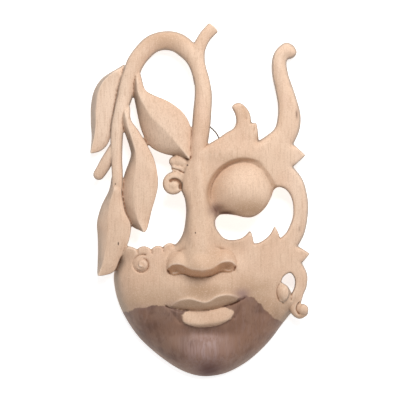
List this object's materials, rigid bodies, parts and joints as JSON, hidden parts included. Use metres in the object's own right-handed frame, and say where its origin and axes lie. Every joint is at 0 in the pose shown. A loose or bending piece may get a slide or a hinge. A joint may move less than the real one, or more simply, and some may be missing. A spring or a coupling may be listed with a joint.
{
  "type": "wall mask",
  "caption": "Carved pale-wood wall mask, hollow behind: a calm face with a closed eyelid and dark chin, opening into a leafy vine, a horn, curls and pierced eyes.",
  "frame": {"origin": "on the back plane that the mask lies on, in the middle of its outline", "axes": "+Y towards the crown, +X to the right of someone who looks at the face, +Z out of the face"},
  "size_m": [0.2095, 0.3373, 0.0596],
  "materials": {
    "wood": "hand-carved and sanded, unvarnished, with a dark heartwood chin",
    "wire": "dull twisted iron wire"
  },
  "bodies": {
    "root": {"mask": "wood", "hanging_wire": "wire"}
  },
  "joints": []
}
